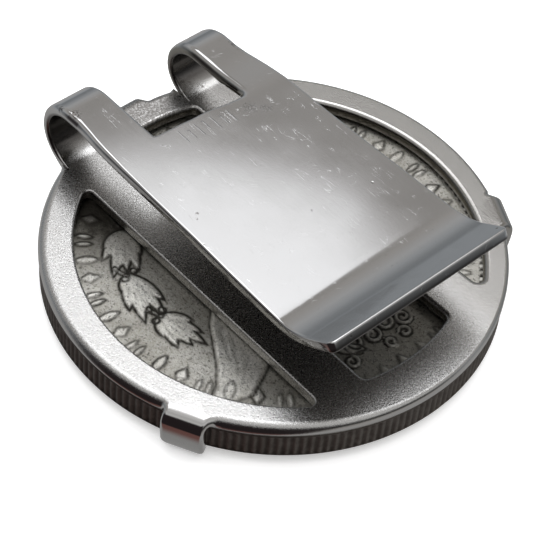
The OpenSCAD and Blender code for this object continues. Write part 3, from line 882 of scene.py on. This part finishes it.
def silver_material():
    mat = bpy.data.materials.new("coin_silver")
    mat.use_nodes = True
    N = Nodes(mat.node_tree)
    out = N.add("ShaderNodeOutputMaterial")
    sh = N.add("ShaderNodeBsdfPrincipled", {"Metallic": 1.0})
    N.put(out.inputs["Surface"], sh.outputs[0])
    tc = N.add("ShaderNodeTexCoord")
    mm = N.vmath("MULTIPLY", tc.outputs["Object"], (1000.0, 1000.0, 1000.0))
    dirt = N.add("ShaderNodeAttribute", attribute_name="dirt").outputs["Fac"]
    reeds = N.add("ShaderNodeAttribute", attribute_name="reeds").outputs["Fac"]
    grime_and_shade = N.noise(mm, 1.3, 5.0, 0.65)
    speck = N.noise(mm, 6.0, 3.0, 0.7)
    cloud = N.noise(mm, 0.25, 3.0, 0.55)
    dark = N.math("MULTIPLY", dirt, N.remap(grime_and_shade, 0.30, 0.62, 0.70, 1.35), clamp=True)
    dark = N.math("MAXIMUM", dark, N.math("MULTIPLY", N.remap(speck, 0.55, 0.68), 0.62))
    # painted shadow: a dark patch, with a darker core, on the coin around the left window's top corner, weaker on the
    # raised relief
    corner_shadow = N.math("ADD", N.vmath("DISTANCE", mm, (-12.6 + AXIS_X, -8.2, COIN_Z1)), N.math("MULTIPLY", N.math("SUBTRACT", grime_and_shade, 0.5), 5.0))
    corner_shadow_core = N.remap(corner_shadow, 1.6, 4.6, 0.85, 0.0)
    corner_shadow = N.remap(corner_shadow, 2.2, 9.5, 0.94, 0.0)
    mottle = N.noise(mm, 3.2, 4.0, 0.75)
    raised = N.add("ShaderNodeAttribute", attribute_name="raised").outputs["Fac"]
    ground = N.mix(N.remap(cloud, 0.35, 0.7), (0.52, 0.503, 0.458), (0.41, 0.394, 0.350))
    worn = N.mix(N.remap(cloud, 0.35, 0.7), (0.78, 0.762, 0.712), (0.69, 0.668, 0.612))
    c = N.mix(raised, ground, worn)
    c = N.mix(N.math("MULTIPLY", N.remap(grime_and_shade, 0.45, 0.68), 0.35), c, (0.38, 0.36, 0.30))
    c = N.mix(N.math("MULTIPLY", N.remap(mottle, 0.50, 0.66), 0.40), c, (0.16, 0.150, 0.125))
    nicks = N.noise(mm, 4.6, 2.0, 0.6)
    c = N.mix(N.math("MULTIPLY", N.remap(nicks, 0.59, 0.66), 0.62), c, (0.055, 0.048, 0.040))
    c = N.mix(N.math("MULTIPLY", N.remap(mottle, 0.46, 0.34), 0.35), c, (0.66, 0.650, 0.610))
    bare = N.math("SUBTRACT", 1.0, N.math("MULTIPLY", raised, 0.6), clamp=True)
    c = N.mix(N.math("MULTIPLY", corner_shadow, bare), c, (0.12, 0.112, 0.095))
    c = N.mix(corner_shadow_core, c, (0.035, 0.031, 0.026))
    c = N.mix(N.math("MULTIPLY", dark, 0.93, clamp=True), c, (0.035, 0.031, 0.026))
    # painted shade: the whole reeded edge is darkened to stand in for its dark reflection
    c = N.mix(N.math("MULTIPLY", reeds, 0.92), c, (0.165, 0.144, 0.128))
    N.put(sh.inputs["Base Color"], c)
    N.put(sh.inputs["Roughness"], N.math("ADD", N.remap(grime_and_shade, 0.3, 0.7, 0.42, 0.55, smooth=False), N.math("MULTIPLY", dark, 0.2)))
    h = N.math("ADD", N.math("MULTIPLY", grime_and_shade, 0.5), N.math("MULTIPLY", speck, 0.5))
    bump = N.add("ShaderNodeBump", {"Strength": 1.0, "Distance": 0.00006, "Height": h})
    N.put(sh.inputs["Normal"], bump.outputs[0])
    return mat


# stains, and a patch of painted shade on the rear ring between the loops (the first entry): place in the row frame
# (mm), radius, strength
STAINS_AND_SHADE = [((-16.2, 0.8, 4.6), 6.2, 0.62), ((-15.57, -7.83, 10.75), 0.65, 0.9), ((-17.07, -8.3, 10.6), 0.45, 0.8), ((-14.66, 8.2, 10.6), 0.5, 0.8), ((-13.77, 8.5, 10.2), 0.55, 0.8),
          ((-7.6, 3.9, 10.77), 0.75, 0.55), ((-6.8, 4.9, 10.77), 0.6, 0.5), ((-1.3, -7.1, 10.77), 0.22, 0.7), ((-0.9, -7.45, 10.77), 0.16, 0.6),
          ((11.8, 1.98, 11.2), 0.12, 0.7), ((3.9, 0.2, 10.77), 0.14, 0.6), ((-4.5, 0.9, 10.77), 0.1, 0.6)]


# ---------------------------------------------------------------- camera, light

AZ, EL, ROLL = -45.877, 48.681, 5.959
DIST, LENS = 158.109, 132.308
TARGET = np.array([1.13 + AXIS_X, -1.817, 3.48])
a_, e_, r_ = d2r(AZ), d2r(EL), d2r(ROLL)
BACK = np.array([math.cos(a_) * math.cos(e_), math.sin(a_) * math.cos(e_), math.sin(e_)])
right = np.cross(-BACK, [0, 0, 1.0]); right /= np.linalg.norm(right)
up = np.cross(right, -BACK)
RIGHT2 = right * math.cos(r_) + up * math.sin(r_)
UP2 = -right * math.sin(r_) + up * math.cos(r_)


def make_camera():
    cam = bpy.data.cameras.new("camera")
    cam.lens, cam.sensor_width = LENS, 36.0
    cam.clip_start, cam.clip_end = 0.01, 5.0
    ob = bpy.data.objects.new("camera", cam)
    m = Matrix([[RIGHT2[i], UP2[i], BACK[i], (TARGET + BACK * DIST)[i] * MM] for i in range(3)] + [[0, 0, 0, 1]])
    ob.matrix_world = m
    bpy.context.scene.collection.objects.link(ob)
    bpy.context.scene.camera = ob


def make_floor():
    bm = bmesh.new()
    n, R = 64, 1.2
    bm.faces.new([bm.verts.new((R * math.cos(2 * math.pi * i / n), R * math.sin(2 * math.pi * i / n), 0)) for i in range(n)])
    me = bpy.data.meshes.new("floor"); bm.to_mesh(me); bm.free()
    ob = bpy.data.objects.new("floor", me)
    bpy.context.scene.collection.objects.link(ob)
    mat = bpy.data.materials.new("floor_pale")
    mat.use_nodes = True
    N = Nodes(mat.node_tree)
    out = N.add("ShaderNodeOutputMaterial")
    sh = N.add("ShaderNodeBsdfPrincipled", {"Base Color": (0.93, 0.93, 0.93, 1), "Roughness": 0.9, "Specular IOR Level": 0.0,
                                            "Emission Color": (1, 1, 1, 1), "Emission Strength": 0.35})
    N.put(out.inputs["Surface"], sh.outputs[0])
    me.materials.append(mat)
    ob.visible_glossy = False  # polished metal mirrors the studio's own lower half, set in make_world


def make_world():
    """A light tent: grey surround, and soft white panels fixed in the room."""
    w = bpy.data.worlds.new("studio")
    w.use_nodes = True
    bpy.context.scene.world = w
    N = Nodes(w.node_tree)
    out = N.add("ShaderNodeOutputWorld")
    bg = N.add("ShaderNodeBackground", {"Strength": 1.0})
    N.put(out.inputs["Surface"], bg.outputs[0])
    tc = N.add("ShaderNodeTexCoord")
    d = tc.outputs["Generated"]
    z = N.add("ShaderNodeSeparateXYZ", {"Vector": d}).outputs["Z"]

    F = 1958.88  # scale used to lay the panels out on a plane
    m = np.array([1, 1, -1.0])
    fwd, rgt, upv = -BACK * m, RIGHT2 * m, UP2 * m
    f = N.vmath("DOT_PRODUCT", d, tuple(fwd))
    safe = N.math("MAXIMUM", f, 0.05)
    u = N.math("MULTIPLY_ADD", N.math("DIVIDE", N.vmath("DOT_PRODUCT", d, tuple(rgt)), safe), F, 266.5)
    v = N.math("MULTIPLY_ADD", N.math("DIVIDE", N.vmath("DOT_PRODUCT", d, tuple(upv)), safe), -F, 266.5)
    front = N.remap(f, 0.05, 0.25)

    def panel(u0, u1, v0, v1, su0, su1, sv0, sv1, strength, lean=0.0):
        """Rectangle u0..u1, v0..v1 with its own softness at each side; its top edge leans."""
        a = N.remap(u, u0 - su0, u0 + su0)
        b = N.remap(u, u1 - su1, u1 + su1, 1.0, 0.0)
        vv = N.math("SUBTRACT", v, N.math("MULTIPLY", N.math("POWER", N.math("MAXIMUM", N.math("SUBTRACT", u, 130.0), 0.0), 2.0), lean)) if lean else v
        c = N.remap(vv, v0 - sv0, v0 + sv0)
        e = N.remap(v, v1 - sv1, v1 + sv1, 1.0, 0.0)
        return N.math("MULTIPLY", N.math("MULTIPLY", N.math("MULTIPLY", a, b), N.math("MULTIPLY", c, e)), N.math("MULTIPLY", front, strength))

    key = panel(72, 368, 155, 1300, 100, 32, 12, 300, 0.98, lean=0.0008)
    key2 = panel(-30, 265, 357, 1300, 150, 130, 60, 300, 1.88)
    key4 = panel(430, 1100, 385, 1300, 60, 300, 60, 300, 0.80)
    key3 = panel(-900, 640, 472, 1500, 260, 200, 90, 300, 2.0)

    def ramp(stops):
        n = N.add("ShaderNodeValToRGB")
        el = n.color_ramp.elements
        while len(el) < len(stops):
            el.new(0.5)
        for e, (p, c) in zip(el, stops):
            e.position = p * 0.5 + 0.5
            e.color = (*c, 1)
        N.put(n.inputs[0], N.math("MULTIPLY_ADD", z, 0.5, 0.5))
        return n.outputs[0]

    def g(v, warm=0.0):
        return (v * (1 + warm), v, v * (1 - warm))

    back_side = ramp([(-1.0, g(0.34)), (-0.3, g(0.40)), (-0.15, g(0.385, -0.05)), (-0.08, g(0.33, -0.06)), (0.02, g(0.235, -0.06)), (0.14, g(0.27, -0.05)), (0.30, g(0.38, -0.04)), (0.45, g(0.45, -0.01)), (0.62, g(0.385, 0.035)), (0.72, g(0.315, 0.04)), (0.82, g(0.365, 0.02)), (1.0, g(0.75))])
    front_side = ramp([(-1.0, g(0.30)), (-0.88, g(0.31)), (-0.72, g(0.40)), (-0.35, g(0.34, 0.04)), (-0.06, g(0.055)), (0.10, g(0.045)), (0.28, g(0.10)), (0.42, g(0.34)), (0.52, g(0.62)), (0.70, g(0.70)), (0.86, g(0.55)), (1.0, g(0.75))])
    cloth = N.math("MULTIPLY", N.remap(N.vmath("DOT_PRODUCT", d, (0.21, -0.98, 0.0)), 0.40, 0.56),
                   N.math("MULTIPLY", N.remap(z, -0.925, -0.895), N.remap(z, 0.60, 0.74, 1.0, 0.0)))
    front_side = N.mix(cloth, front_side, N.mix(N.remap(z, -0.70, -0.56), (0.17, 0.085, 0.075), (0.022, 0.017, 0.018)))
    toward = N.remap(N.vmath("DOT_PRODUCT", d, (0.696, -0.718, 0.0)), -0.12, 0.30)
    base = N.mix(toward, back_side, front_side)
    lit = N.add("ShaderNodeMix", {}, data_type="RGBA", blend_type="ADD")
    N.put(lit.inputs[0], 1.0)
    N.put(lit.inputs[6], base)
    both = N.math("ADD", N.math("ADD", key, key2), N.math("ADD", key3, key4))
    comb = N.add("ShaderNodeCombineXYZ")
    for k, tint in enumerate((0.975, 0.998, 1.04)):
        N.put(comb.inputs[k], N.math("MULTIPLY", both, tint))
    N.put(lit.inputs[7], comb.outputs[0])
    N.put(bg.inputs["Color"], lit.outputs[2])


def area_light(name, loc, target, size, power, glossy=True):
    data = bpy.data.lights.new(name, "AREA")
    data.shape, data.size, data.size_y = "RECTANGLE", size[0], size[1]
    data.energy = power
    ob = bpy.data.objects.new(name, data)
    ob.location = loc
    ob.rotation_euler = (Vector(target) - Vector(loc)).to_track_quat("-Z", "Y").to_euler()
    ob.visible_camera = False
    ob.visible_glossy = glossy
    bpy.context.scene.collection.objects.link(ob)
    return ob


bpy.context.scene.view_settings.view_transform = "Standard"
make_camera()
make_floor()
make_world()
area_light("overhead", (0.0, 0.0, 0.9), (0, 0, 0), (1.2, 1.2), 9.0, glossy=False)

steel = steel_material()
silver = silver_material()

clip = build_clip()
clip.data.materials.append(steel)
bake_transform(clip)
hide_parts(*[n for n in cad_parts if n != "coin"])

coin = build_coin()
coin.data.materials.append(silver)
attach(coin, "coin_disc")
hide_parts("coin")
